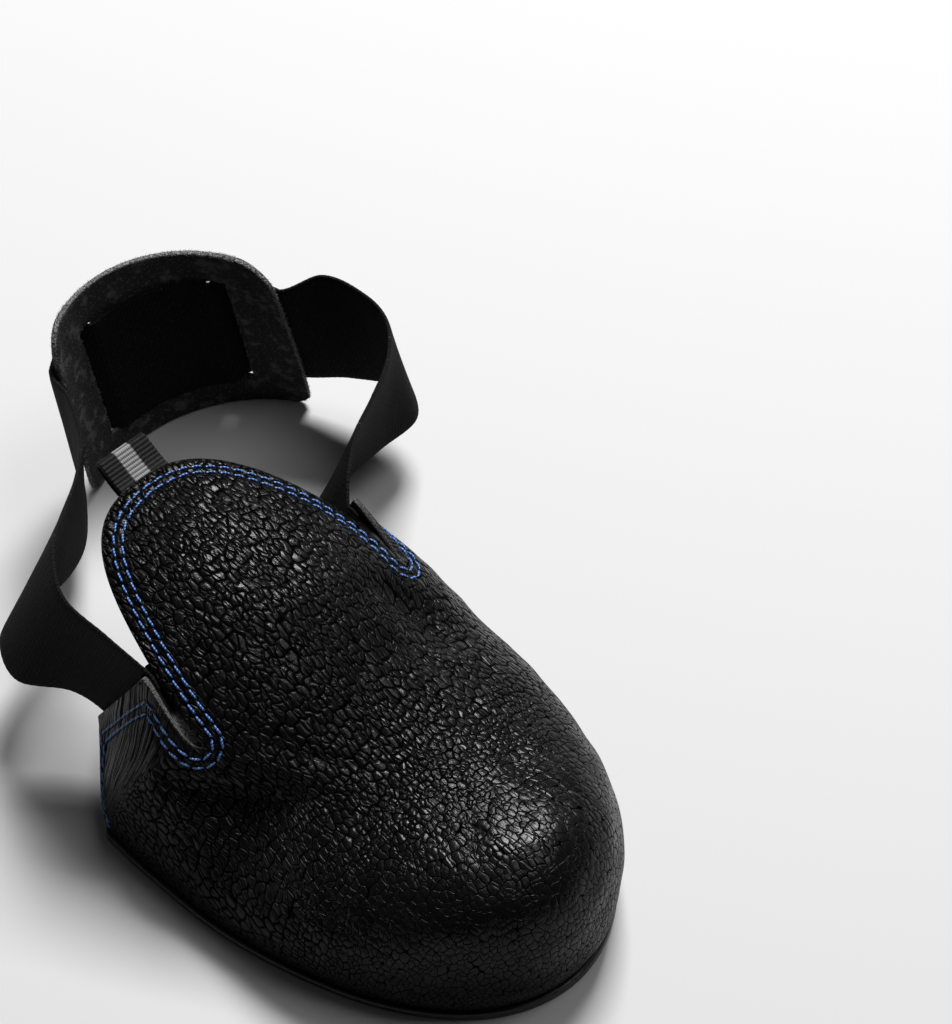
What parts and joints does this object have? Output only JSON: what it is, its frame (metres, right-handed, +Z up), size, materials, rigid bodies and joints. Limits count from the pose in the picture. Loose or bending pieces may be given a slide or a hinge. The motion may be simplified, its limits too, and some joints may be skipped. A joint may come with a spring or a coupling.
{
  "type": "toe cap overshoe",
  "caption": "Leather toe cap overshoe with a stitched tongue and two wings, a flat rubber sole, an elastic heel band through a slotted heel pad, and a webbing pull loop.",
  "frame": {"origin": "middle of the part's footprint, on the ground under the sole", "axes": "+Z up, toe towards -Y, heel pad towards +Y, +X to the wearer's left"},
  "size_m": [0.1618, 0.234, 0.0717],
  "materials": {
    "leather": "semi-gloss pebble grain",
    "suede": "matt flesh side",
    "rubber": "smooth",
    "elastic": "matt woven",
    "webbing": "black with a pale grey centre stripe",
    "thread": "blue sewing thread"
  },
  "bodies": {
    "root": {"upper": "leather", "sole": "rubber", "heel_pad": "suede", "heel_band": "elastic", "pull_loop": "webbing"}
  },
  "joints": []
}
